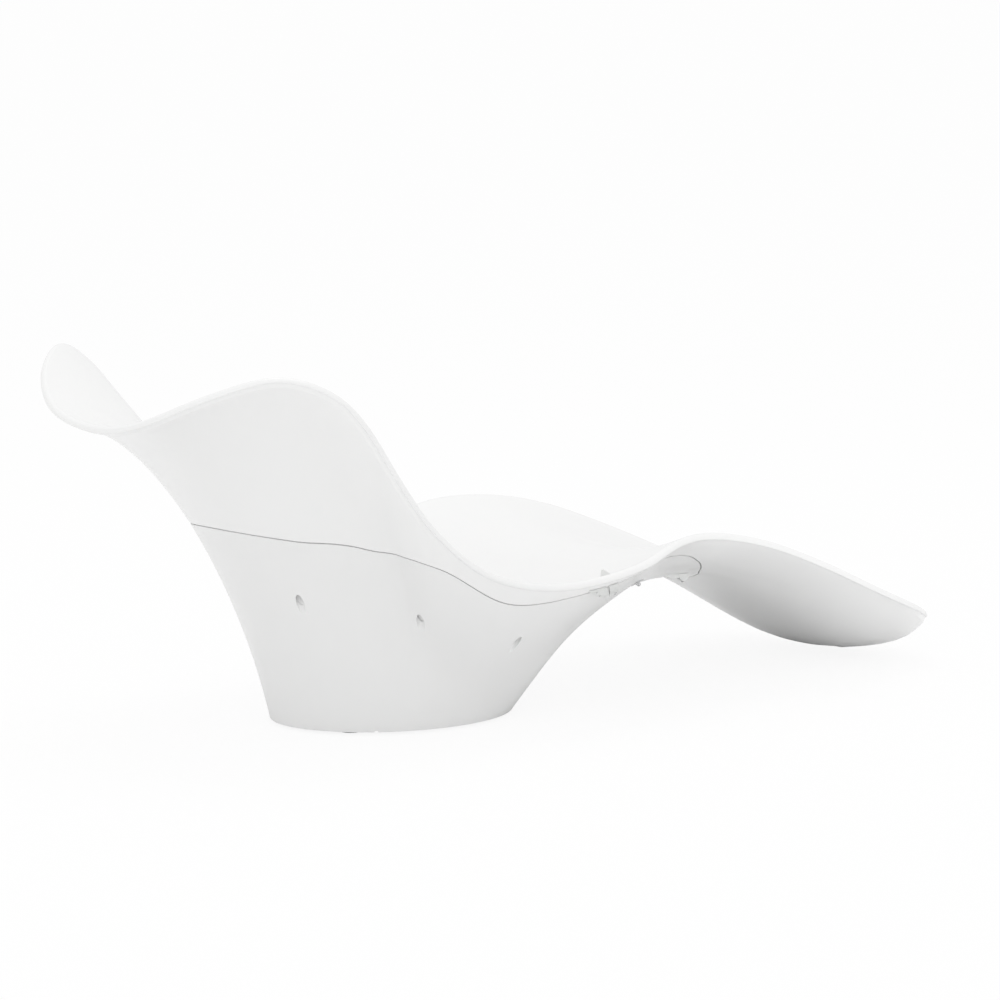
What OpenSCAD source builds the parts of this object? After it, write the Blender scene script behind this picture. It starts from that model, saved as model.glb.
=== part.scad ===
// Spa relaxation lounger: a wave-shaped lying shell with a rolled edge and
// two head wings, closed below by an outer shell, on a flared oval pedestal
// whose front reaches forward as a tongue under the knees. Millimetres.
// Origin: middle of the overall length and width, on the floor. +X runs to
// the foot end and +Z up. The lounger is symmetric about its length.

/* [Overall] */
// Length over the rolled edge, head end to foot end
length = 2050; // [1900:10:2200]
// Width over the rolled edge, across the head wings
width = 850; // [790:4:910]
// Height of the wing crests above the floor
height = 765; // [720:1:820]

/* [Shells] */
// Radius of the rolled edge of the lying shell
edge_r = 9; // [8:0.5:11]
// Wall of the lying shell
lying_wall = 6; // [4:0.5:7]
// Wall of the outer shell
outer_wall = 5; // [4:0.5:6]
// Wall of the pedestal shell
base_wall = 7; // [5:0.5:9]
// Open seam between the pedestal and the outer shell
seam_gap = 3; // [2:0.5:5]

/* [Pedestal] */
// Length of the oval footprint
base_length = 526; // [480:2:580]
// Width of the oval footprint
base_width = 426; // [390:2:470]

/* [Screw pockets] */
// Bore of each screw pocket, drilled up along the flared wall
pocket_bore = 16; // [12:1:20]
// Height of each pocket above the place where it enters the wall
pocket_depth = 46; // [40:2:60]

/* [Frame] */
// Side of the square steel tubes
tube_side = 30; // [24:1:34]
// Wall of the square steel tubes
tube_wall = 2.5; // [2:0.5:4]
// Thickness of the base plate
plate_t = 10; // [8:1:14]
// Thickness of the pads between the frame and the lying shell
pad_t = 10; // [6:1:14]

/* [Levelling feet] */
// Diameter of the rubber foot pads
foot_pad_d = 50; // [40:2:60]
// Height of the rubber foot pads
foot_pad_h = 8; // [6:0.5:10]
// Diameter of the threaded foot stems
stem_d = 10; // [8:1:12]
// Travel of each foot
foot_travel = 10; // [6:1:12]

/* [Hidden] */
// Spans per station of the shell grids
steps = 3;
// Gap left at each fit that carries no load
fit_gap = 0.4;
// Height of the pedestal's lower edge above the floor
floor_clear = 5;

// Rim: places along the length, half width and height, from the middle of
// the head end over the wing and the knee to the middle of the foot end
rim_shares = [
    [0, 0, 0.844], [0.002, 0.33, 0.872], [0.030, 0.61, 0.943],
    [0.080, 0.841, 0.997], [0.126, 0.966, 0.955], [0.163, 0.99, 0.864],
    [0.2, 0.995, 0.723], [0.244, 0.998, 0.578], [0.308, 1, 0.451],
    [0.382, 1, 0.398], [0.453, 0.993, 0.397], [0.517, 0.974, 0.422],
    [0.566, 0.921, 0.459], [0.625, 0.844, 0.461], [0.701, 0.832, 0.419],
    [0.784, 0.815, 0.337], [0.870, 0.77, 0.238], [0.948, 0.68, 0.155],
    [0.989, 0.44, 0.111], [1, 0, 0.094]];
// Centre line of the lying surface, in length and height, station by station
spine_shares = [
    [0.043, 0.838], [0.05, 0.828], [0.076, 0.793], [0.114, 0.722],
    [0.152, 0.632], [0.187, 0.538], [0.22, 0.448], [0.258, 0.36],
    [0.313, 0.29], [0.382, 0.26], [0.453, 0.28], [0.517, 0.331],
    [0.566, 0.379], [0.625, 0.384], [0.701, 0.325], [0.784, 0.235],
    [0.870, 0.138], [0.931, 0.079], [0.958, 0.064], [0.963, 0.062]];
// How square the trough of the lying surface is at each station
trough_shares = [
    1, 1.1, 1.25, 1.33, 1.3, 1.25, 1.25, 1.45, 1.7, 1.8, 1.9, 2, 2.2, 2.2, 2.2,
    2.2, 2.1, 1.8, 1.4, 1];
// Lean of the edge's wall below the horizontal, as a share of a right angle
lean_shares = [
    0.31, 0.42, 0.58, 0.67, 0.67, 0.63, 0.6, 0.56, 0.55, 0.55, 0.55, 0.5,
    0.45, 0.4, 0.38, 0.38, 0.4, 0.45, 0.5, 0.5];
// Where each meridian of the outer surface leaves the oval, as a share of
// the half turn from the head end
leave_shares = [
    0, 0.1, 0.2, 0.29, 0.35, 0.4, 0.44, 0.48, 0.52, 0.56, 0.61, 0.66, 0.71,
    0.76, 0.81, 0.86, 0.91, 0.95, 0.98, 1];
// How far each meridian runs up from the oval before it flares, and how far
// its flare reaches in from the edge
draft_share = 0.12;
rise_share = 0.36;
reach_share = 0.49;
// How far each meridian runs on along the slope that it has at the edge
fall_shares = [
    0.04, 0.06, 0.12, 0.22, 0.34, 0.43, 0.48, 0.5, 0.48, 0.44, 0.38, 0.34,
    0.31, 0.31, 0.31, 0.31, 0.31, 0.31, 0.31, 0.31];
// Keel of the leg part: length and height of the outer surface's centre line
keel_shares = [
    [0.5, 0.19], [0.56, 0.25], [0.61, 0.28], [0.66, 0.292], [0.7, 0.287],
    [0.75, 0.252], [0.8, 0.19], [0.85, 0.108], [0.885, 0.046], [0.915, 0.012],
    [0.945, 0.008], [0.97, 0.012], [0.985, 0.026], [1, 0.062]];
// Seam between pedestal and outer shell, as a share of each meridian
seam_shares = [
    0.54, 0.535, 0.523, 0.503, 0.485, 0.48, 0.483, 0.503, 0.535, 0.578, 0.63, 0.69, 0.757,
    0.825, 0.89, 0.94, 0.94, 0.917, 0.935, 0.957, 0.967, 0.973, 0.975, 0.965, 0.94, 0.905,
    0.86, 0.797, 0.728, 0.668, 0.61, 0.56, 0.515, 0.484, 0.462, 0.451, 0.445, 0.442, 0.44];

half_w = width / 2 - edge_r;
top_z = height - edge_r;
stations = len(rim_shares) - 1;
ring = 2 * stations * steps;
base_x_share = 0.357;
function along(share) = (share - 0.5) * (length - 2 * edge_r);
base_x = along(base_x_share);

function mix(a, b, f) = a + (b - a) * f;
function unit(v) = v / norm(v);
function ease(f) = let (c = max(0, min(1, f))) c * c * (3 - 2 * c);
function other_side(p) = is_list(p) ? [p[0], -p[1], p[2]] : p;

// A table mirrored past its ends, and the smooth curve through it at u
function station(tab, k) = let (n = len(tab) - 1)
    k < 0 ? other_side(tab[-k]) : k > n ? other_side(tab[2 * n - k]) : tab[k];
function curve(tab, u) = let (
    k = floor(u), f = u - k, a = station(tab, k - 1), b = station(tab, k),
    c = station(tab, k + 1), d = station(tab, k + 2))
    b + (c - a) * f / 2 + (2 * a - 5 * b + 4 * c - d) * f * f / 2
    + (3 * (b - c) + d - a) * f * f * f / 2;

RIM = [for (p = rim_shares) [along(p[0]), p[1] * half_w, p[2] * top_z]];
// The back leans on the pedestal's back, wherever that stands in the length
back_stations = 9;
oval_back_share = 0.2275;
back_shift = base_x - base_length / 2 - along(oval_back_share);
SPINE = [for (k = [0 : stations]) let (p = spine_shares[k])
    [along(p[0]) + back_shift * sin(180 * min(1, k / back_stations)), 0, p[1] * top_z]];

function rim(u) = curve(RIM, u);
function tangent(u) = unit(rim(u + 0.05) - rim(u - 0.05));
// Direction down the wall from the edge, and across it towards the sitter
function down_wall(u) = let (
    t = tangent(u), lean = 90 * curve(lean_shares, u),
    side = unit([t[1], -t[0], 0]),
    w = side * cos(lean) - [0, 0, 1] * sin(lean))
    unit(w - t * (w * t));
function to_sitter(u) = cross(tangent(u), down_wall(u)) * -1;

// Lying surface: from its centre line, f = 0, to the rolled edge, f = 1
sweep_share = 0.6;
function lying(u, f) = let (
    p = curve(SPINE, u), r = rim(u) + to_sitter(u) * edge_r,
    e = curve(trough_shares, u))
    [mix(p[0], r[0], pow(f, mix(1, e, sweep_share))), r[1] * f, mix(p[2], r[2], pow(f, e))];

// Outer surface: from the floor, v = 0, to below the rolled edge, v = 1. Its
// sides flare from the oval; its front rises steadily into the leg part.
tuck_share = 2 / 3;
front_slope_share = 1.32;
front_blend_share = 0.08;
side_share = 0.5;
front_share = 0.16;
leg_share = 0.3;
nose_share = 0.84;
leg_square_shares = [2.2, 2.8, 5];
OVAL = [for (f = leave_shares) [base_x - base_length / 2 * cos(180 * f),
    base_width / 2 * sin(180 * f), floor_clear]];
function leave(u) = curve(OVAL, u);
function below_edge(u) = rim(u) - to_sitter(u) * (edge_r * tuck_share) + down_wall(u) * (edge_r + fit_gap);
EDGE = [for (k = [0 : stations * steps]) below_edge(k / steps)];
edge_z_table = [for (p = EDGE) [p[0], p[2]]];
edge_y_table = [for (p = EDGE) [p[0], p[1]]];
KEEL = [for (p = keel_shares) [along(p[0]), p[1] * top_z]];
function leg_z(x, y) = let (
    k = lookup(x, KEEL), z = lookup(x, edge_z_table), w = max(1, lookup(x, edge_y_table)),
    f = min(1, abs(y) / w), far = x / along(1), e = leg_square_shares,
    leg = mix(e[0], e[1], ease((far - leg_share) / (1 - leg_share))))
    mix(k, z, pow(f, mix(leg, e[2], ease((far - nose_share) / (1 - nose_share)))));
function soft_min(a, b, k) = let (h = max(0, min(1, 0.5 + (b - a) / k / 2)))
    mix(b, a, h) - k * h * (1 - h);
function bezier(a, b, c, d, t) =
    pow(1 - t, 3) * a + 3 * t * pow(1 - t, 2) * b + 3 * t * t * (1 - t) * c + pow(t, 3) * d;
function outer(u, v) = let (
    f = leave(u), b = below_edge(u), flat = [b[0] - f[0], b[1] - f[1], 0],
    up = [0, 0, b[2] - f[2]],
    side = bezier(f, f + draft_share * flat + rise_share * up,
        b - reach_share * flat - curve(fall_shares, u) * up, b, v),
    x = mix(f[0], b[0], v), y = mix(f[1], b[1], v),
    rise = f[2] + norm(flat) * v * front_slope_share,
    front = [x, y, soft_min(rise, leg_z(x, y), front_blend_share * top_z)],
    w = ease((u / stations - side_share) / front_share))
    mix(side, front, w);

// Directions square to the two surfaces, both pointing up and in
near_share = 0.02;
function lying_normal(u, f) = let (d = near_share, g = max(f, 1.5 * d))
    unit(cross(lying(u + d, g) - lying(u - d, g), lying(u, min(1, f + d)) - lying(u, max(0, f - d))));
function outer_normal(u, v) = let (d = near_share)
    unit(cross(outer(u + d, v) - outer(u - d, v), outer(u, min(1, v + d)) - outer(u, max(0, v - d))));
function under_lying(u, f, depth) = lying(u, f) - lying_normal(u, f) * depth;
function in_outer(u, v, depth) = outer(u, v) + (v == 1 ? to_sitter(u) : outer_normal(u, v)) * depth;
// Share of a meridian that a length along it takes
function span_share(u, v, mm) = let (d = near_share / 2) mm * 2 * d / norm(outer(u, v + d) - outer(u, v - d));
function seam(u) = curve(seam_shares, u * (len(seam_shares) - 1) / stations);
function seam_low(u) = seam(u) - span_share(u, seam(u), seam_gap / 2);
function seam_high(u) = seam(u) + span_share(u, seam(u), seam_gap / 2);

// A closed solid through cross-sections that run round the lounger. The
// first half of the sections is given, from the head end to the foot end.
// With ends_meet, each section starts and ends on the centre plane.
module ring_solid(half, ends_meet = false) {
    n = len(half) - 1;
    m = len(half[0]);
    full = concat(half, [for (i = [n - 1 : -1 : 1]) [for (q = half[i]) other_side(q)]]);
    function at(i, j) = let (k = i % (2 * n), e = ends_meet && (j == 0 || j == m - 1))
        (e && k > n ? 2 * n - k : k) * m + j % m;
    polyhedron(
        points = [for (ring = full) each ring],
        faces = [for (i = [0 : 2 * n - 1]) for (j = [0 : m - (ends_meet ? 2 : 1)])
            let (a = at(i, j), b = at(i + 1, j), c = at(i + 1, j + 1), d = at(i, j + 1),
                end = ends_meet && ((j == 0 && (i == n - 1 || i == n))
                    || (j == m - 2 && (i == 0 || i == 2 * n - 1))))
                each ((i < n) != end ? [[a, c, d], [a, b, c]] : [[a, b, d], [b, c, d]])],
        convexity = 10);
}

half_turn = [for (k = [0 : stations * steps]) k / steps];
lying_rows = [0, 0.17, 0.34, 0.5, 0.65, 0.78, 0.89, 1];
edge_angles = [289, 250, 210, 168, 126, 84, 42];
function edge_point(u, a) = rim(u) + (to_sitter(u) * cos(a) - down_wall(u) * sin(a)) * edge_r;
function lying_section(u) = concat(
    [for (k = [0 : len(lying_rows) - 2]) under_lying(u, lying_rows[k], lying_wall)],
    [for (a = edge_angles) edge_point(u, a)],
    [for (k = [len(lying_rows) - 1 : -1 : 0]) lying(u, lying_rows[k])]);
module lying_shell() {
    color("white") ring_solid([for (u = half_turn) lying_section(u)], ends_meet = true);
}

outer_rows = [0, 0.12, 0.3, 0.5, 0.7, 0.88, 1];
function outer_section(u) = let (low = seam_high(u), vs = [for (g = outer_rows) mix(low, 1, g)])
    concat([for (v = vs) outer(u, v)],
        [for (k = [len(vs) - 1 : -1 : 0]) in_outer(u, vs[k], outer_wall)]);
module outer_shell() {
    color("whitesmoke") ring_solid([for (u = half_turn) outer_section(u)]);
}

base_rows = [0, 0.12, 0.26, 0.38, 0.5, 0.64, 0.82, 1];
function base_section(u) = let (vs = [for (g = base_rows) g * seam_low(u)])
    concat([for (v = vs) outer(u, v)],
        [for (k = [len(vs) - 1 : -1 : 1]) in_outer(u, vs[k], base_wall)],
        [let (q = in_outer(u, 0, base_wall)) [q[0], q[1], outer(u, 0)[2]]]);
// Screw pockets: place round the rim and height up the meridian, one side
pocket_shares = [[0.081, 0.33], [0.307, 0.46], [0.48, 0.635]];
function pocket(k) = outer(pocket_shares[k][0] * stations, pocket_shares[k][1]);
module both_sides() {
    children();
    mirror([0, 1, 0]) children();
}
// Slant of the bores into the wall, so that each opens as a tall oval
pocket_turn = 20;
module on_bore(k) {
    u = pocket_shares[k][0] * stations;
    v = pocket_shares[k][1];
    up = unit(outer(u, v + near_share) - outer(u, v - near_share));
    axis = up * cos(pocket_turn) + outer_normal(u, v) * sin(pocket_turn);
    translate(pocket(k)) rotate([0, acos(axis[2]), atan2(axis[1], axis[0])]) children();
}
module pocket_hole(k) {
    on_bore(k) cylinder(d = pocket_bore, h = 2 * pocket_depth, center = true, $fn = 40);
}
// Notch in the lower edge that drains the hollow pedestal
notch_d = 10;
notch_h = 3;
notch_turn_share = 0.149;
module drain_notch() {
    p = outer(notch_turn_share * stations, 0);
    translate([p[0], -p[1], p[2] + notch_h - notch_d / 2])
        rotate([0, 0, atan2(-p[1], p[0] - base_x)]) rotate([0, 90, 0])
        cylinder(d = notch_d, h = 4 * base_wall, center = true, $fn = 24);
}
module base_shell() {
    color("gainsboro") difference() {
        ring_solid([for (u = half_turn) base_section(u)]);
        both_sides() for (k = [0 : len(pocket_shares) - 1]) pocket_hole(k);
        drain_notch();
    }
}

// Heights up the meridian of the grid rows of both shells, from the floor
// past the seam to the edge
base_top = len(base_rows) - 1;
edge_row = base_top + len(outer_rows);
function row_v(u, j) = j <= base_top ? base_rows[j] * seam_low(u)
    : mix(seam_high(u), 1, outer_rows[j - base_top - 1]);
// A slab that follows the cells of the shells' grid between two depths
module wall_slab(u0, u1, j0, j1, low, high) {
    open_solid([for (k = [floor(u0 * steps) - 1 : ceil(u1 * steps) + 1]) let (u = k / steps) concat(
        [for (j = [j0 : j1]) in_outer(u, row_v(u, j), low)],
        [for (j = [j1 : -1 : j0]) in_outer(u, row_v(u, j), high)])],
        turned = true);
}
// A closed solid through a run of cross-sections, capped at both ends; turned
// for sections that run the other way round. The first half of each section
// is one of its sides and the second half the other, coming back.
module open_solid(sections, turned = false) {
    n = len(sections);
    m = len(sections[0]);
    cap = [for (j = [0 : m / 2 - 2]) each [[j, j + 1, m - 2 - j], [j, m - 2 - j, m - 1 - j]]];
    faces = concat(
            [for (t = cap) [t[2], t[1], t[0]]],
            [for (i = [0 : n - 2]) for (j = [0 : m - 1])
                for (face = [[i * m + j, i * m + (j + 1) % m, (i + 1) * m + (j + 1) % m],
                    [i * m + j, (i + 1) * m + (j + 1) % m, (i + 1) * m + j]]) face],
            [for (t = cap) [for (k = t) (n - 1) * m + k]]);
    polyhedron(
        points = [for (ring = sections) each ring],
        faces = turned ? [for (f = faces) [for (k = [len(f) - 1 : -1 : 0]) f[k]]] : faces,
        convexity = 6);
}
cup_wall = 3;
module pocket_cup(k) {
    u = pocket_shares[k][0] * stations;
    g = pocket_shares[k][1] / seam_low(u);
    j = [for (i = [0 : len(base_rows) - 2]) if (base_rows[i] <= g && base_rows[i + 1] > g) i][0];
    difference() {
        on_bore(k) translate([0, 0, -pocket_bore - cup_wall]) difference() {
            cylinder(d = pocket_bore + 2 * cup_wall, h = pocket_bore + pocket_depth, $fn = 40);
            translate([0, 0, -cup_wall])
                cylinder(d = pocket_bore, h = pocket_bore + pocket_depth, $fn = 40);
        }
        wall_slab(u - 1 / steps, u + 1 / steps, max(0, j - 1), min(base_top, j + 2),
            -4 * base_wall, base_wall + fit_gap);
    }
}
module pocket_cups() {
    color("white") both_sides() for (k = [0 : len(pocket_shares) - 1]) pocket_cup(k);
}

// Base plate, bonded into the pedestal's foot
plate_z = floor_clear + 2 * plate_t;
function wall_at(u, z) = let (
    ps = [for (g = base_rows) let (q = in_outer(u, g * seam_low(u), base_wall))
        [q[0], q[1], g == 0 ? floor_clear : q[2]]],
    q = [lookup(z, [for (p = ps) [p[2], p[0]]]), lookup(z, [for (p = ps) [p[2], p[1]]])],
    c = [base_x, 0]) q + unit(c - q) * fit_gap;
foot_shares = [0.34, 0.22];
foot_x = foot_shares[0] * base_length;
foot_y = foot_shares[1] * base_width;
foot_places = [[-1, -1], [1, -1], [1, 1], [-1, 1]];
function foot_at(k) = [base_x + foot_places[k][0] * foot_x, foot_places[k][1] * foot_y, 0];
run_gap = 0.05;
insert_d = 2 * stem_d;
insert_flange_t = 3;
flange_share = 1.4;
insert_top = plate_z + plate_t + stem_d;
nut_share = 0.8;
hex_share = 1.9;
nut_h = nut_share * stem_d;
spare_thread = 2;
centre_hole_share = 0.75;
module base_plate() {
    outline = [for (u = half_turn) wall_at(u, plate_z)];
    color("dimgray") difference() {
        translate([0, 0, plate_z]) linear_extrude(plate_t) polygon(concat(outline,
            [for (k = [len(outline) - 2 : -1 : 1]) [outline[k][0], -outline[k][1]]]));
        for (k = [0 : 3]) translate(foot_at(k) + [0, 0, plate_z - plate_t])
            cylinder(d = insert_d + 2 * run_gap, h = 3 * plate_t, $fn = 48);
        translate([base_x, 0, plate_z - plate_t])
            cylinder(r = centre_hole_share * foot_y, h = 3 * plate_t, $fn = 72);
    }
}

// Welded frame: posts, side rails and cross members
post_shares = [0.17, 0.26];
rail_y = post_shares[1] * base_width;
post_x = post_shares[0] * base_length;
rail_back = base_x - post_x - tube_side;
rail_front = base_x + 2 * post_x;
seat_share = 8 / stations;
seat_u = seat_share * stations;
seat_low = min([for (k = [0 : 2 * steps]) under_lying(seat_u + k / steps, 0, lying_wall)[2]]);
rail_top = seat_low - pad_t;
rail_z = rail_top - tube_side;
module tube(size, axis) {
    inner = [for (k = [0 : 2]) k == axis ? size[k] + 2 * tube_wall : size[k] - 2 * tube_wall];
    difference() {
        cube(size, center = true);
        cube(inner, center = true);
    }
}
module frame_posts() {
    h = rail_z - plate_z - plate_t;
    color("silver") for (x = [-1, 1]) for (y = [-1, 1])
        translate([base_x + x * post_x, y * rail_y, plate_z + plate_t + h / 2])
            tube([tube_side, tube_side, h], 2);
}
module side_rails() {
    color("silver") for (y = [-1, 1])
        translate([(rail_front + rail_back) / 2, y * rail_y, rail_z + tube_side / 2])
            tube([rail_front - rail_back, tube_side, tube_side], 0);
}
module cross_members() {
    color("silver") for (x = [-1, 1]) translate([base_x + x * post_x, 0, rail_z + tube_side / 2])
        tube([tube_side, 2 * rail_y - tube_side, tube_side], 1);
}

// Arms that carry the rails on under the knees and up behind the back
knee_share = 2 / 3;
back_share = 1 / 3;
knee_u = knee_share * stations;
back_u = back_share * stations;
function arm_end(u) = under_lying(u, lying_rows[1], lying_wall);
arm_end_share = 0.75;
knee_end = [arm_end(knee_u + 1 / steps)[0], min(arm_end(knee_u)[2], arm_end(knee_u + 1 / steps)[2]) - pad_t];
back_end = [arm_end(back_u)[0], arm_end(back_u + 1 / steps)[2] - pad_t];
function arm_top(x, end, start) = mix(rail_top, end[1], (x - start) / (end[0] - start));
module arm(end, start) {
    color("silver") for (y = [-1, 1]) translate([0, y * rail_y + tube_side / 2, 0]) rotate([90, 0, 0])
        linear_extrude(tube_side) polygon([[start, rail_z], [end[0], end[1] - arm_end_share * tube_side],
            end, [start, rail_top]]);
}
module knee_arms() { arm(knee_end, rail_front); }
module back_struts() { arm(back_end, rail_back); }
// A pad that fills the space from a line in the side view up to the shell
module shell_pad(u, end, start) {
    color("gray") both_sides() open_solid([for (w = [u, u + 1 / steps]) [
        for (p = [under_lying(w, lying_rows[1], lying_wall), under_lying(w, lying_rows[2], lying_wall)])
            p - [0, 0, fit_gap],
        for (p = [under_lying(w, lying_rows[2], lying_wall), under_lying(w, lying_rows[1], lying_wall)])
            [p[0], p[1], arm_top(p[0], end, start)]]]);
}
level_end = [rail_front + tube_side, rail_top];
module seat_pads() {
    shell_pad(seat_u, level_end, rail_front);
    shell_pad(seat_u + (steps + 1) / steps, level_end, rail_front);
}
module knee_pads() { shell_pad(knee_u, knee_end, rail_front); }
module back_pads() { shell_pad(back_u, back_end, rail_back); }

module foot_inserts() {
    color("lightgray") for (k = [0 : 3]) translate(foot_at(k)) difference() {
        union() {
            translate([0, 0, plate_z - insert_flange_t])
                cylinder(d = flange_share * insert_d, h = insert_flange_t, $fn = 48);
            translate([0, 0, plate_z - insert_flange_t / 2])
                cylinder(d = insert_d, h = insert_top - plate_z + insert_flange_t / 2, $fn = 48);
        }
        cylinder(d = stem_d + 2 * run_gap, h = 2 * insert_top, $fn = 48);
    }
}
module foot_locknuts() {
    color("silver") for (k = [0 : 3]) translate(foot_at(k) + [0, 0, insert_top]) difference() {
        cylinder(d = hex_share * stem_d, h = nut_h, $fn = 6);
        translate([0, 0, -nut_h]) cylinder(d = stem_d + 2 * run_gap, h = 3 * nut_h, $fn = 48);
    }
}
module foot_stem(k) {
    color("silver") translate(foot_at(k)) union() {
        translate([0, 0, foot_pad_h]) cylinder(d = hex_share * stem_d, h = nut_h / 2, $fn = 6);
        translate([0, 0, foot_pad_h])
            cylinder(d = stem_d, h = insert_top + nut_h + foot_travel + spare_thread - foot_pad_h, $fn = 48);
    }
}
module foot_pad(k) {
    color("black") translate(foot_at(k)) union() {
        cylinder(d = foot_pad_d, h = foot_pad_h / 2, $fn = 64);
        translate([0, 0, foot_pad_h / 2])
            cylinder(d1 = foot_pad_d, d2 = foot_pad_d - foot_pad_h, h = foot_pad_h / 2, $fn = 64);
    }
}
module foot_stem_1() { foot_stem(0); }
module foot_stem_2() { foot_stem(1); }
module foot_stem_3() { foot_stem(2); }
module foot_stem_4() { foot_stem(3); }
module foot_pad_1() { foot_pad(0); }
module foot_pad_2() { foot_pad(1); }
module foot_pad_3() { foot_pad(2); }
module foot_pad_4() { foot_pad(3); }

// Fittings at the knee. Each stands on the outer surface and is cut to the
// shells' own faces, so that it sits on them with the fit gap.
cut_depth = 30;
module off_shells(u0, u1, rows_below = 3, last_row = base_top) {
    difference() {
        children();
        wall_slab(u0, u1, base_top - rows_below, last_row, -fit_gap, cut_depth);
    }
}
// A frame on the surface, with z out of the shell and x along the lounger
module on_outer(u, v) {
    n = outer_normal(u, v) * -1;
    t = unit(outer(u + near_share, v) - outer(u - near_share, v));
    b = cross(n, t);
    p = outer(u, v);
    multmatrix([[t[0], b[0], n[0], p[0]], [t[1], b[1], n[1], p[1]], [t[2], b[2], n[2], p[2]]]) children();
}
// A plate over four places on the surface, given as shares of the half turn
// and of the meridian, with its middle line a little proud
module skin_plate(corners, thick) {
    function at(g, h) = mix(mix(corners[0], corners[1], g), mix(corners[3], corners[2], g), h);
    open_solid([for (g = [0, 0.5, 1]) [
        for (q = [[0, -1], [0.5, -1], [1, -1], [1, 0.7], [0.5, 1], [0, 0.7]])
            let (p = at(g, q[0])) in_outer(p[0] * stations, p[1], -q[1] * thick)]], turned = true);
}
bracket_t = 6;
bracket_shares = [[0.518, 0.985], [0.536, 0.985], [0.562, 0.858], [0.548, 0.885]];
module edge_brackets() {
    color("whitesmoke") both_sides() off_shells(9.667, 10.667, 2, edge_row)
        skin_plate(bracket_shares, bracket_t);
}
lug_t = 4;
lug_shares = [[0.5385, 0.985], [0.548, 0.985], [0.579, 0.845], [0.567, 0.84]];
module screw_lugs() {
    color("whitesmoke") both_sides() off_shells(10, 11, 2, edge_row) skin_plate(lug_shares, lug_t);
}
wedge_w = 24;
wedge_h = 22;
wedge_t = 8;
wedge_seat = 1.6;
module edge_wedges() {
    u = 10.15;
    f = 0.95;
    n = lying_normal(u, f);
    t = unit(lying(u + 0.02, f) - lying(u - 0.02, f));
    b = cross(n, t);
    p = lying(u, f) + n * wedge_seat;
    color("whitesmoke") both_sides()
        multmatrix([[t[0], b[0], n[0], p[0]], [t[1], b[1], n[1], p[1]], [t[2], b[2], n[2], p[2]]])
            translate([0, wedge_t / 2, 0]) rotate([90, 0, 0]) linear_extrude(wedge_t)
                polygon([[-wedge_w / 2, 0], [wedge_w / 2, 0], [0, wedge_h]]);
}
module dome(d, h) {
    big = (d * d / 4 + h * h) / h / 2;
    rotate_extrude($fn = 40) intersection() {
        translate([0, h - big]) circle(r = big, $fn = 120);
        square([d / 2, h]);
    }
}
// Pins and screws stand on the plates: place, and height as a share of the
// plate's thickness there
pin_d = 4;
pin_shares = [[0.527, 0.972, 0.77], [0.536, 0.935, 1]];
module bracket_pins() {
    color("silver") both_sides() for (p = pin_shares) on_outer(p[0] * stations, p[1])
        translate([0, 0, p[2] * bracket_t + fit_gap]) dome(pin_d, pin_d / 4);
}
screw_d = 7;
screw_shares = [0.575, 0.84, 0.72];
module side_screws() {
    color("silver") both_sides() on_outer(screw_shares[0] * stations, screw_shares[1])
        translate([0, 0, screw_shares[2] * lug_t + fit_gap]) dome(screw_d, screw_d / 3);
}
bolt_d = 9;
bolt_stand = 6;
bolt_shares = [0.652, 0.72];
washer_share = 1.3;
module knee_bolts() {
    u = bolt_shares[0] * stations;
    color("silver") both_sides() off_shells(u, u) on_outer(u, bolt_shares[1]) union() {
        translate([0, 0, -bolt_stand]) cylinder(d = bolt_d / 2, h = 2 * bolt_stand, $fn = 32);
        translate([0, 0, bolt_stand / 2]) cylinder(d = washer_share * bolt_d, h = bolt_stand / 3, $fn = 40);
        translate([0, 0, bolt_stand]) dome(bolt_d, bolt_d / 2);
    }
}
strap_shares = [[0.663, 0.69], [0.7, 0.69], [0.7, 0.64], [0.663, 0.64]];
module knee_straps() {
    color("silver") both_sides() off_shells(12.667, 13.333) skin_plate(strap_shares, lug_t);
}
// Lobed bracket under the tongue, as an outline in the side view
tongue_share = 0.842;
tongue_v_share = 0.458;
tongue_t = 12;
tongue_arm = 44;
tongue_lobe = 26;
tongue_drop = 17;
module tongue_brackets() {
    u = tongue_share * stations;
    p = outer(u, tongue_v_share);
    color("whitesmoke") both_sides() off_shells(u - 2 / steps, u + 2 / steps)
        translate([p[0], p[1] + tongue_t / 2, p[2]]) rotate([90, 0, 0]) linear_extrude(tongue_t) union() {
            polygon([[-tongue_arm, tongue_drop], [-tongue_arm, 0], [-tongue_arm / 2, -tongue_drop / 2],
                [0, -tongue_drop / 2], [0, tongue_drop]]);
            translate([tongue_lobe / 2, tongue_lobe / 2 - tongue_drop]) circle(d = tongue_lobe, $fn = 40);
            translate([0, tongue_lobe / 2 - tongue_drop]) square([tongue_lobe, tongue_drop]);
        }
}
tongue_bolt_d = 6;
module tongue_bolts() {
    p = outer(tongue_share * stations, tongue_v_share);
    color("silver") both_sides() translate([p[0] + tongue_lobe / 2, p[1], p[2] - tongue_drop - fit_gap])
        rotate([180, 0, 0]) dome(tongue_bolt_d, tongue_bolt_d / 2);
}

gasket_inset = 2;
function gasket_section(u) = let (
    g = span_share(u, seam(u), seam_gap / 2 - fit_gap), v0 = seam(u) - g, v1 = seam(u) + g,
    d0 = gasket_inset, d1 = outer_wall)
    [in_outer(u, v0, d0), in_outer(u, v1, d0), in_outer(u, v1, d1), in_outer(u, v0, d1)];
module seam_gasket() {
    color("dimgray") ring_solid([for (u = half_turn) gasket_section(u)]);
}

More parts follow.
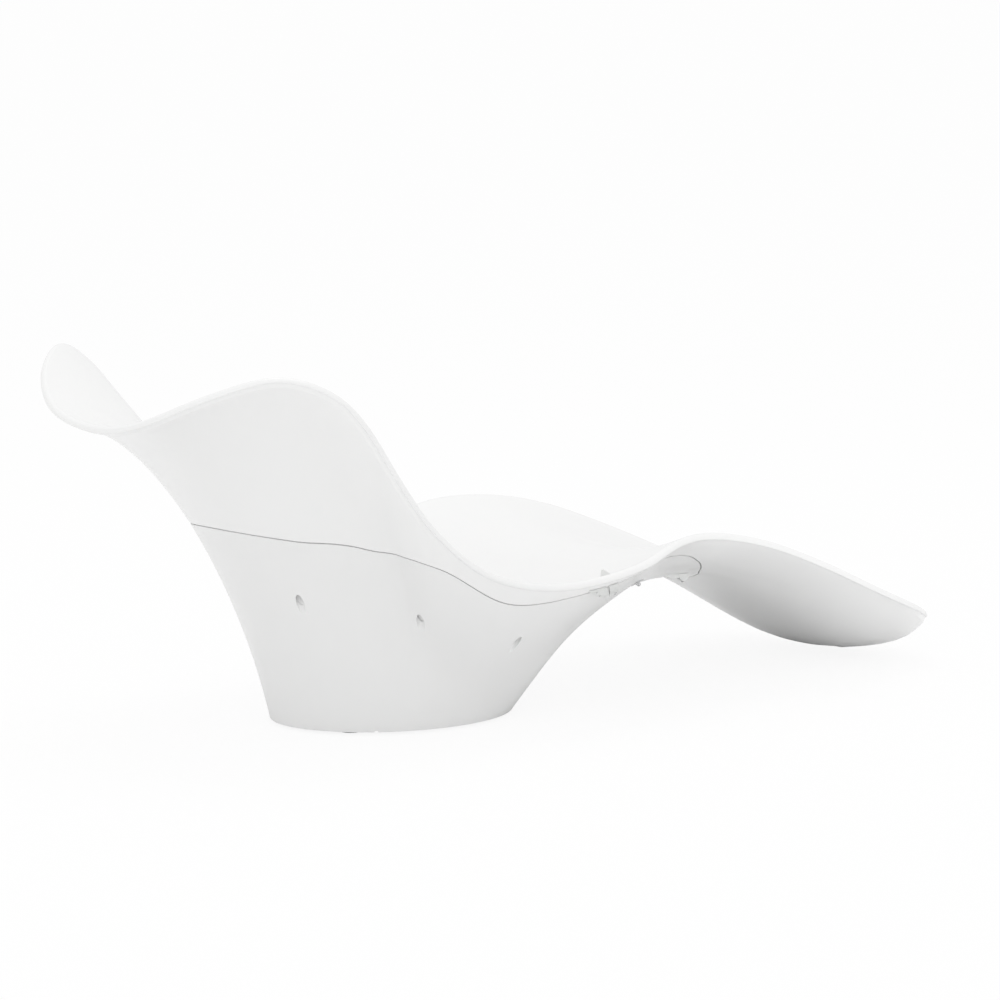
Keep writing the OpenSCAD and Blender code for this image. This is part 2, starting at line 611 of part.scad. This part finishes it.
lying_shell();
outer_shell();
base_shell();
seam_gasket();
pocket_cups();
base_plate();
frame_posts();
side_rails();
cross_members();
knee_arms();
back_struts();
seat_pads();
knee_pads();
back_pads();
foot_inserts();
foot_locknuts();
foot_stem_1();
foot_stem_2();
foot_stem_3();
foot_stem_4();
foot_pad_1();
foot_pad_2();
foot_pad_3();
foot_pad_4();
edge_brackets();
edge_wedges();
bracket_pins();
screw_lugs();
side_screws();
knee_bolts();
knee_straps();
tongue_brackets();
tongue_bolts();
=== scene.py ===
import bpy, math
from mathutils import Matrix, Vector
from mathutils.bvhtree import BVHTree


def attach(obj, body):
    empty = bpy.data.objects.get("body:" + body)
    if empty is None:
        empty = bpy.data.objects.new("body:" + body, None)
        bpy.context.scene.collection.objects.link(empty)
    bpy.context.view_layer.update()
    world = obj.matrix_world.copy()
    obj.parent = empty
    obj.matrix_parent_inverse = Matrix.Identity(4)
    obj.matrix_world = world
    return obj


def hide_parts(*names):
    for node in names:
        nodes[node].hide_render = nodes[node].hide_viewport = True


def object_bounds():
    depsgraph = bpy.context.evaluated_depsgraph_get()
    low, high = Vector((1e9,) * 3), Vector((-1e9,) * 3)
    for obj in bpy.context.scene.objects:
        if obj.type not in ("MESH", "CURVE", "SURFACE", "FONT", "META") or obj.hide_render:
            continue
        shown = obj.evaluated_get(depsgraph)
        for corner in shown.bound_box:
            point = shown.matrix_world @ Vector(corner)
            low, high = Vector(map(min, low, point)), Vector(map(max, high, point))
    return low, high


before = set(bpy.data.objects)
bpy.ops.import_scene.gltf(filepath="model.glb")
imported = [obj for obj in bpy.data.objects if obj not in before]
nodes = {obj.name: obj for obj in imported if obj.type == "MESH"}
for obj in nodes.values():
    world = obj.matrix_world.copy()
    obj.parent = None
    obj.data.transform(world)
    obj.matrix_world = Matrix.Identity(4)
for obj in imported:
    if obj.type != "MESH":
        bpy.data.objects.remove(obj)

cad_box = [[float(c) for c in corner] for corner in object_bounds()]
scene = bpy.context.scene

# ---------------------------------------------------------------- lying shell
# The lying surface is one glass-fibre moulding with a rolled edge. It is laid
# up in a polished mould and sprayed with white gelcoat, so its skin is even
# and satin, and its edge runs round it as one soft bead.


class Value:
    """A number that a shader node gives, with Python's own arithmetic."""

    def __init__(self, finish, socket):
        self.finish, self.socket = finish, socket

    def _math(self, operation, a, b):
        return self.finish.node("ShaderNodeMath", {"operation": operation}, [a, b])

    def __add__(self, other):
        return self._math("ADD", self, other)

    def __mul__(self, other):
        return self._math("MULTIPLY", self, other)


class Finish:
    """A surface finish, built as nodes in front of one Principled shader."""

    def __init__(self, name, colour, roughness, metallic=0.0, coat=0.0,
                 coat_roughness=0.1, specular=0.5):
        self.material = bpy.data.materials.new(name)
        self.material.use_nodes = True
        self.tree = self.material.node_tree
        self.shader = self.tree.nodes["Principled BSDF"]
        self.shader.inputs["Base Color"].default_value = (*colour, 1)
        self.shader.inputs["Roughness"].default_value = roughness
        self.shader.inputs["Metallic"].default_value = metallic
        self.shader.inputs["Coat Weight"].default_value = coat
        self.shader.inputs["Coat Roughness"].default_value = coat_roughness
        self.shader.inputs["Specular IOR Level"].default_value = specular

    def put(self, socket, value):
        if isinstance(value, Value):
            self.tree.links.new(value.socket, socket)
        else:
            socket.default_value = value

    def node(self, kind, settings=None, inputs=None, output=0):
        """Any node: its settings first, then its sockets by name or by place."""
        new = self.tree.nodes.new(kind)
        for name, value in (settings or {}).items():
            setattr(new, name, value)
        pairs = inputs.items() if isinstance(inputs, dict) else enumerate(inputs or [])
        for key, value in pairs:
            self.put(new.inputs[key], value)
        return Value(self, new.outputs[output])

    def place(self):
        return self.node("ShaderNodeTexCoord", output="Object")

    def noise(self, scale, detail=4.0, stretch=(1, 1, 1)):
        moved = self.node("ShaderNodeMapping", None, {"Vector": self.place(), "Scale": stretch})
        return self.node("ShaderNodeTexNoise", None,
                         {"Vector": moved, "Scale": scale, "Detail": detail})

    def blend(self, amount, low, high):
        return self.node("ShaderNodeMix", {"data_type": "RGBA"},
                         {"Factor": amount, 6: (*low, 1), 7: (*high, 1)}, output=2)

    def feed(self, **inputs):
        for name, value in inputs.items():
            self.put(self.shader.inputs[name.replace("_", " ")], value)

    def bump(self, height, strength, distance):
        self.feed(Normal=self.node("ShaderNodeBump", None,
                                   {"Height": height, "Strength": strength, "Distance": distance}))


def gelcoat(name, light, shade):
    """White gelcoat: a fine cloudiness, a faint flow in the gloss and a
    barely visible orange peel."""
    finish = Finish(name, light, 0.34, coat=0.35, coat_roughness=0.16, specular=0.45)
    cloud = finish.noise(3.5, 3.0)
    flow = finish.noise(14.0, 5.0, (1, 1, 0.5))
    peel = finish.noise(420.0, 2.0)
    finish.feed(Base_Color=finish.blend(cloud * 0.6 + flow * 0.4, light, shade),
                Roughness=flow * 0.08 + 0.31)
    finish.bump(peel * 0.6 + flow * 0.4, 0.08, 0.0004)
    return finish.material


def alone(*pieces):
    """Nothing but these pieces is selected, and the first is active."""
    bpy.ops.object.select_all(action="DESELECT")
    for piece in pieces:
        piece.select_set(True)
    bpy.context.view_layer.objects.active = pieces[0]


def moulding(node, name):
    """A copy of a CAD piece with a mesh of its own, its corners merged."""
    piece = nodes[node].copy()
    piece.data = nodes[node].data.copy()
    piece.name = name
    scene.collection.objects.link(piece)
    alone(piece)
    bpy.ops.object.mode_set(mode="EDIT")
    bpy.ops.mesh.select_all(action="SELECT")
    bpy.ops.mesh.remove_doubles(threshold=0.00002)
    bpy.ops.object.mode_set(mode="OBJECT")
    return piece


def unpicked(piece, kind):
    """None of the piece's elements is selected, and that kind is next."""
    alone(piece)
    bpy.ops.object.mode_set(mode="EDIT")
    bpy.ops.mesh.select_mode(type=kind)
    bpy.ops.mesh.select_all(action="DESELECT")
    bpy.ops.object.mode_set(mode="OBJECT")


def smoothed(piece, levels, crease_angle):
    """Joins triangles to quads, keeps the trimmed edges crisp and smooths."""
    alone(piece)
    bpy.ops.object.mode_set(mode="EDIT")
    bpy.ops.mesh.select_all(action="SELECT")
    bpy.ops.mesh.tris_convert_to_quads(face_threshold=math.radians(50),
                                       shape_threshold=math.radians(120))
    bpy.ops.mesh.select_all(action="DESELECT")
    bpy.ops.mesh.select_mode(type="EDGE")
    bpy.ops.mesh.edges_select_sharp(sharpness=math.radians(crease_angle))
    bpy.ops.transform.edge_crease(value=1)
    bpy.ops.object.mode_set(mode="OBJECT")
    modifier = piece.modifiers.new("smooth", "SUBSURF")
    modifier.levels = modifier.render_levels = levels
    bpy.ops.object.modifier_apply(modifier="smooth")
    bpy.ops.object.shade_smooth_by_angle(angle=math.radians(40))


def dress(piece, material):
    """The material fills every slot of the object; its mesh isn't touched."""
    if not piece.material_slots:
        piece.data.materials.append(None)
    for place in piece.material_slots:
        place.material = material


def carried(piece, node):
    """The piece moves with the lounger and shows in place of a CAD node."""
    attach(piece, "lounger")
    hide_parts(node)


shell_white = gelcoat("shell gelcoat", (0.90, 0.90, 0.895), (0.875, 0.877, 0.875))
lying = moulding("lying_shell", "lying_surface")
smoothed(lying, 2, 70)
dress(lying, shell_white)
carried(lying, "lying_shell")

# ---------------------------------------------------------------- outer shell
# The outer shell closes the lounger below the rolled edge, from the head
# wings to the spoon-shaped foot end. It is the same white laminate, bonded
# under the edge, and its lower edge is trimmed along the seam.


def skin(piece, faces):
    """These faces of a piece, as they are now, to find the nearest one on."""
    return BVHTree.FromPolygons([vertex.co.copy() for vertex in piece.data.vertices],
                                [tuple(face.vertices) for face in faces])


# The faces of the wall's top edge lie between sharp edges, close under the
# bead. A material slot marks them, because smoothing keeps the slots.
outer = moulding("outer_shell", "outer_skin")
sharp_angle, joint_gap, top_slot = 50, 0.014, 1
unpicked(outer, "EDGE")
bpy.ops.object.mode_set(mode="EDIT")
bpy.ops.mesh.edges_select_sharp(sharpness=math.radians(sharp_angle))
bpy.ops.object.mode_set(mode="OBJECT")
trimmed = {corner for edge in outer.data.edges if edge.select for corner in edge.vertices}
bead = skin(lying, lying.data.polygons)
while len(outer.data.materials) <= top_slot:
    outer.data.materials.append(None)
for face in outer.data.polygons:
    spot, normal, index, gap = bead.find_nearest(face.center)
    under_bead = gap < joint_gap and face.normal.z > 0
    face.material_index = top_slot if under_bead and trimmed.issuperset(face.vertices) else 0
smoothed(outer, 2, sharp_angle)
joint = skin(outer, [face for face in outer.data.polygons if face.material_index == top_slot])


def slimmer(x):
    """How much finer the edge is at a place in the length, from 0 to 1."""
    stops = [(-0.50, 1.0), (-0.15, 0.15), (0.15, 0.15), (0.40, 1.0)]
    for (x0, share0), (x1, share1) in zip(stops, stops[1:]):
        if x0 < x <= x1:
            return share0 + (share1 - share0) * (x - x0) / (x1 - x0)
    return 1.0


def outward(spot, up):
    """The direction away from the sitter, square to the wall's own rise."""
    spine_end = 0.8
    middle = Vector((max(-spine_end, min(spine_end, spot.x)), 0, spot.z))
    return ((spot - middle) - (spot - middle).dot(up) * up).normalized()


# The edge is finer round the head and the foot end than at the knees. The
# outer half of the bead draws in towards its top, and the wall grows to it.
bead_r, finer = 0.009, 0.004
whole_within, fades_over, side_share = 1.45 * bead_r, 0.45 * bead_r, 0.3
normals = [vertex.normal.copy() for vertex in lying.data.vertices]
for vertex, normal in zip(lying.data.vertices, normals):
    spot, up, index, reach = joint.find_nearest(vertex.co, 2 * bead_r)
    if spot:
        out = outward(spot, up)
        near = 1 - min(1, max(0, (reach - whole_within) / fades_over))
        near *= min(1, max(0, normal.dot(out) / side_share))
        vertex.co += (up + out - normal) * (finer * near * slimmer(vertex.co.x))
for vertex in lying.data.vertices:
    vertex.co.y = max(cad_box[0][1], min(cad_box[1][1], vertex.co.y))
lying.data.update()

# The foot end is full and round below its edge, so the wall swells out there,
# most at a sixth of the way down it, and stays short of the overall length.
unpicked(outer, "VERT")
foot_from, foot_run, foot_drop, fullness = 0.86, 0.12, 0.12, 0.028
tip_from, tip_room, edge_kept = 1.0, 0.0235, 0.004
for vertex in outer.data.vertices:
    if vertex.co.x > foot_from:
        spot, up, index, reach = joint.find_nearest(vertex.co)
        end = min(1, (vertex.co.x - foot_from) / foot_run)
        depth = min(1, reach / foot_drop)
        swell = 0.25 * (1 - depth) + 0.85 * math.sin(math.pi * depth ** 0.42)
        vertex.co += outward(spot, up) * (fullness * swell * end * end * (3 - 2 * end))
        if vertex.co.x > tip_from:
            vertex.co.x = tip_from + tip_room * math.tanh((vertex.co.x - tip_from) / tip_room)
        vertex.select = reach > edge_kept
bpy.ops.object.mode_set(mode="EDIT")
bpy.ops.mesh.vertices_smooth(factor=0.5, repeat=10)
bpy.ops.object.mode_set(mode="OBJECT")

# The top edge is drawn up until it ends just inside the bead.
unpicked(outer, "FACE")
for face in outer.data.polygons:
    face.select = face.material_index == top_slot
bpy.ops.object.mode_set(mode="EDIT")
bpy.ops.mesh.extrude_region_shrink_fatten(TRANSFORM_OT_shrink_fatten={"value": 0.0})
bpy.ops.object.mode_set(mode="OBJECT")
bead = skin(lying, lying.data.polygons)
below, climb, inside = 0.002, 0.025, 0.001
for vertex in outer.data.vertices:
    if vertex.select:
        spot, up, index, reach = joint.find_nearest(vertex.co)
        under = bead.ray_cast(vertex.co - up * below, up, climb)[0]
        if not under:
            under = bead.find_nearest(vertex.co)[0]
        vertex.co = under + up * inside
outer.data.update()
dress(outer, shell_white)
carried(outer, "outer_shell")

# ------------------------------------------------------------- pedestal shell
# The pedestal is a flared oval moulding with a tongue that reaches under the
# knees. Its foot stands just clear of the floor, and six screw pockets are
# drilled up into the flare at a slant, so that each opens as a tall oval.
# The pedestal's white is set a little darker than the shell's white. This is painted shade for its
# place under the overhanging shell and near the floor.
pedestal_shaded_white = gelcoat("pedestal gelcoat with painted shade", (0.865, 0.865, 0.86), (0.84, 0.842, 0.84))
pedestal = moulding("base_shell", "pedestal_skin")
pockets = [(Vector((-0.6153, 0.1206, 0.2710)), Vector((-0.136, -0.092, 0.986))),
           (Vector((-0.4370, 0.2730, 0.2391)), Vector((-0.205, 0.195, 0.959))),
           (Vector((-0.2298, 0.3138, 0.1740)), Vector((0.035, 0.374, 0.927)))]
pockets += [(Vector((p.x, -p.y, p.z)), Vector((a.x, -a.y, a.z))) for p, a in pockets]


pocket_r, pocket_half = 0.008, 0.046


def near_pocket(point):
    return any((point - place).cross(axis).length < pocket_r + 0.0004
               and (point - place).length < pocket_half + 0.004 for place, axis in pockets)


# The pockets and the drain notch in the lower edge are closed for a moment,
# so that the flare is smoothed as one skin, and then they are cut again. The
# notch's two corners on each face of the wall are joined by a straight edge.
lower_edge = 0.005
notch, notch_turn = Vector((-0.4604, -0.1628, 0.003)), math.radians(224.5)
notch_r, notch_depth = 0.005, 0.028
outer_corners = [(-0.4638, -0.1597), (-0.4563, -0.1651)]
inner_corners = [(-0.4587, -0.1549), (-0.4512, -0.1602)]
unpicked(pedestal, "VERT")
for vertex in pedestal.data.vertices:
    arch = vertex.co.z > lower_edge + 0.0002 and (vertex.co - notch).length < 0.012
    vertex.select = arch or near_pocket(vertex.co)
bpy.ops.object.mode_set(mode="EDIT")
bpy.ops.mesh.delete(type="VERT")
bpy.ops.object.mode_set(mode="OBJECT")
for corners in (outer_corners, inner_corners):
    unpicked(pedestal, "VERT")
    for vertex in pedestal.data.vertices:
        vertex.select = any(math.dist(vertex.co, (x, y, lower_edge)) < 0.0004
                            for x, y in corners)
    bpy.ops.object.mode_set(mode="EDIT")
    bpy.ops.mesh.edge_face_add()
    bpy.ops.object.mode_set(mode="OBJECT")
bpy.ops.object.mode_set(mode="EDIT")
bpy.ops.mesh.select_all(action="SELECT")
bpy.ops.mesh.fill_holes(sides=0)
bpy.ops.mesh.quads_convert_to_tris(quad_method="SHORTEST_DIAGONAL", ngon_method="BEAUTY")
bpy.ops.object.mode_set(mode="OBJECT")
smoothed(pedestal, 2, 50)
bores = [(pocket_r, 2 * pocket_half, place, axis) for place, axis in pockets]
bores += [(notch_r, notch_depth, notch, Vector((math.cos(notch_turn), math.sin(notch_turn), 0)))]
for radius, depth, place, axis in bores:
    bpy.ops.mesh.primitive_cylinder_add(vertices=64, radius=radius, depth=depth, location=place,
                                        rotation=axis.to_track_quat("Z", "Y").to_euler())
    drill = bpy.context.object
    cut = pedestal.modifiers.new("drill", "BOOLEAN")
    cut.operation, cut.solver, cut.object = "DIFFERENCE", "EXACT", drill
    alone(pedestal)
    bpy.ops.object.modifier_apply(modifier="drill")
    bpy.data.objects.remove(drill)
bpy.ops.object.shade_smooth_by_angle(angle=math.radians(12))
dress(pedestal, pedestal_shaded_white)
carried(pedestal, "base_shell")

# ---------------------------------------------------------------- seam gasket
# A soft grey strip lies recessed in the seam between the pedestal and the
# outer shell, and keeps water and dust out of the hollow.
strip = Finish("seam strip", (0.42, 0.42, 0.42), 0.75, specular=0.3)
grain = strip.noise(160.0, 3.0)
strip.feed(Base_Color=strip.blend(grain, (0.38, 0.38, 0.38), (0.46, 0.46, 0.455)),
           Roughness=grain * 0.15 + 0.68)
gasket = moulding("seam_gasket", "seam_strip")
smoothed(gasket, 2, 50)
dress(gasket, strip.material)
carried(gasket, "seam_gasket")

# ----------------------------------------------------------------- pocket cups
# A moulded cup closes each screw pocket behind the pedestal's wall. It is
# bonded in, and it has the same gelcoat as the pedestal, whose slightly darker white is painted
# shade.
dress(nodes["pocket_cups"], pedestal_shaded_white)

# --------------------------------------------------------------- steel carrier
# The carrier inside the pedestal is welded square tube on a base plate, all
# in grey powder coat with its fine pebbled skin.
coat = Finish("grey powder coat", (0.40, 0.41, 0.42), 0.55, specular=0.4)
pebble = coat.noise(700.0, 2.0)
patch = coat.noise(9.0, 4.0)
coat.feed(Base_Color=coat.blend(patch, (0.37, 0.38, 0.39), (0.44, 0.45, 0.455)),
          Roughness=patch * 0.12 + 0.5)
coat.bump(pebble, 0.25, 0.0003)
for name in ("base_plate", "frame_posts", "side_rails", "cross_members",
             "knee_arms", "back_struts"):
    dress(nodes[name], coat.material)

# ---------------------------------------------------------- rubber pads, feet
# Black rubber pads carry the lying shell on the frame, and the same rubber
# makes the four foot pads.
rubber = Finish("black rubber", (0.035, 0.035, 0.036), 0.7, specular=0.35)
dust = rubber.noise(60.0, 5.0)
rubber.feed(Base_Color=rubber.blend(dust, (0.028, 0.028, 0.03), (0.055, 0.055, 0.054)),
            Roughness=dust * 0.2 + 0.6)
rubber.bump(rubber.noise(500.0, 2.0), 0.2, 0.0003)
for name in ("seat_pads", "knee_pads", "back_pads",
             "foot_pad_1", "foot_pad_2", "foot_pad_3", "foot_pad_4"):
    dress(nodes[name], rubber.material)

# ------------------------------------------------------------ stainless pieces
# Inserts, nuts, stems, pins, screws and bolts are turned stainless steel with
# a fine directional grain.
steel = Finish("brushed stainless", (0.56, 0.56, 0.57), 0.3, metallic=1.0)
lines = steel.noise(90.0, 6.0, (1, 1, 14))
steel.feed(Base_Color=steel.blend(lines, (0.52, 0.52, 0.53), (0.62, 0.62, 0.625)),
           Roughness=lines * 0.2 + 0.2)
for name in ("foot_inserts", "foot_locknuts",
             "foot_stem_1", "foot_stem_2", "foot_stem_3", "foot_stem_4",
             "bracket_pins", "side_screws", "knee_bolts", "tongue_bolts"):
    dress(nodes[name], steel.material)

# ---------------------------------------------------------------- knee fittings
# The brackets under the edge, the screw lugs beside them and the brackets near
# the tongue's end are moulded off-white plastic, screwed on from outside.
fitting = Finish("off-white fitting", (0.74, 0.75, 0.74), 0.5, specular=0.45)
soft = fitting.noise(40.0, 4.0)
fitting.feed(Base_Color=fitting.blend(soft, (0.72, 0.73, 0.72), (0.78, 0.785, 0.775)),
             Roughness=soft * 0.1 + 0.45)
for name in ("edge_brackets", "screw_lugs", "tongue_brackets"):
    dress(nodes[name], fitting.material)

# ----------------------------------------------------------------- edge wedges
# A small off-white wedge is clipped on the lying surface at each side. It
# stands low, a little ahead of its bracket, and is sunk slightly in its seat.


def half_picked(piece, side):
    """One of a mirrored pair is selected, ready for edit mode's tools."""
    unpicked(piece, "VERT")
    for vertex in piece.data.vertices:
        vertex.select = vertex.co.y * side > 0
    bpy.ops.object.mode_set(mode="EDIT")


wedges = moulding("edge_wedges", "edge_wedge_pair")
step_ahead, sink = Vector((0.024, 0, 0)), Vector((0, 0, 0.0015))
for side in (-1, 1):
    corners = [vertex.co for vertex in wedges.data.vertices if vertex.co.y * side > 0]
    seat = bead.find_nearest(sum(corners, Vector()) / len(corners))[0]
    ahead = bead.find_nearest(seat + step_ahead)[0]
    half_picked(wedges, side)
    bpy.ops.transform.resize(value=(1.1, 1, 0.65), center_override=seat)
    bpy.ops.transform.translate(value=ahead - seat - sink)
    bpy.ops.object.mode_set(mode="OBJECT")
dress(wedges, fitting.material)
carried(wedges, "edge_wedges")

# ----------------------------------------------------------------- knee straps
# The thin stainless strap under each knee bolt is pressed from strip. Just a
# short tab of it shows beside the bolt's head.
straps = moulding("knee_straps", "knee_strap_tabs")
tab_share, tab_x, tab_y, tab_z = 0.42, 0.1003, 0.2931, 0.2594
for side in (-1, 1):
    half_picked(straps, side)
    bpy.ops.transform.resize(value=(tab_share, tab_share, tab_share),
                             center_override=(tab_x, side * tab_y, tab_z))
    bpy.ops.object.mode_set(mode="OBJECT")
dress(straps, steel.material)
carried(straps, "knee_straps")

# ---------------------------------------------------------------------- studio
# A plain white floor that keeps a soft shadow, a white room all round, and
# lamps above and beside the lounger. The camera stands where the photograph's
# stood.
bpy.ops.object.select_all(action="DESELECT")
bpy.ops.mesh.primitive_plane_add(size=120, location=(0, 0, -0.0005))
floor = bpy.context.object
floor.name = "floor"
floor_glow = 0.9
ground = Finish("floor white", (0.93, 0.93, 0.93), 0.9, specular=0.1)
ray = ground.node("ShaderNodeLightPath", output="Is Camera Ray")
glow = ground.node("ShaderNodeEmission", None, {"Color": (1, 1, 1, 1), "Strength": 1.0})
mixed = ground.node("ShaderNodeMixShader", None,
                    [ray * floor_glow, Value(ground, ground.shader.outputs[0]), glow])
ground.put(ground.tree.nodes["Material Output"].inputs["Surface"], mixed)
dress(floor, ground.material)

room = bpy.data.worlds.new("room")
scene.world = room
room.use_nodes = True
tree = room.node_tree
back = tree.nodes["Background"]
path = tree.nodes.new("ShaderNodeLightPath")
seen = tree.nodes.new("ShaderNodeBackground")
seen.inputs["Strength"].default_value = 1.0
back.inputs["Strength"].default_value = 0.91
for background in (back, seen):
    background.inputs["Color"].default_value = (1, 1, 1, 1)
join = tree.nodes.new("ShaderNodeMixShader")
tree.links.new(path.outputs["Is Camera Ray"], join.inputs[0])
tree.links.new(back.outputs[0], join.inputs[1])
tree.links.new(seen.outputs[0], join.inputs[2])
tree.links.new(join.outputs[0], tree.nodes["World Output"].inputs["Surface"])


def lamp(name, place, target, size, power, cone=None):
    light = bpy.data.lights.new(name, "SPOT" if cone else "AREA")
    light.energy = power
    if cone:
        light.spot_size, light.spot_blend = math.radians(cone), 1.0
        light.shadow_soft_size = size
    else:
        light.shape, light.size = "DISK", size
    holder = bpy.data.objects.new(name, light)
    holder.location = place
    holder.rotation_euler = (Vector(target) - Vector(place)).to_track_quat("-Z", "Y").to_euler()
    scene.collection.objects.link(holder)


lamp("key lamp", (-5.8, -2.6, 3.8), (-0.4, 0, 0.5), 3.0, 26)
lamp("top lamp", (0.6, 0.6, 6.0), (0.1, 0, 0.3), 4.0, 46)
lamp("foot lamp", (0.6, -3.2, 0.2), (0.55, 0, 0.0), 0.4, 40, 34)
lamp("low lamp", (-0.6, -5.0, 0.4), (0.5, 0, 0.15), 2.0, 6)

azimuth, elevation = math.radians(-40), math.radians(8.3)
away = Vector((math.sin(azimuth) * math.cos(elevation),
               -math.cos(azimuth) * math.cos(elevation), math.sin(elevation)))
view = bpy.data.cameras.new("camera")
view.lens, view.sensor_width, view.clip_end = 213.4, 36, 200
camera = bpy.data.objects.new("camera", view)
camera.location = (-7.673, -9.138, 2.148)
camera.rotation_euler = (-away).to_track_quat("-Z", "Y").to_euler()
scene.collection.objects.link(camera)
scene.camera = camera
scene.view_settings.view_transform = "Standard"
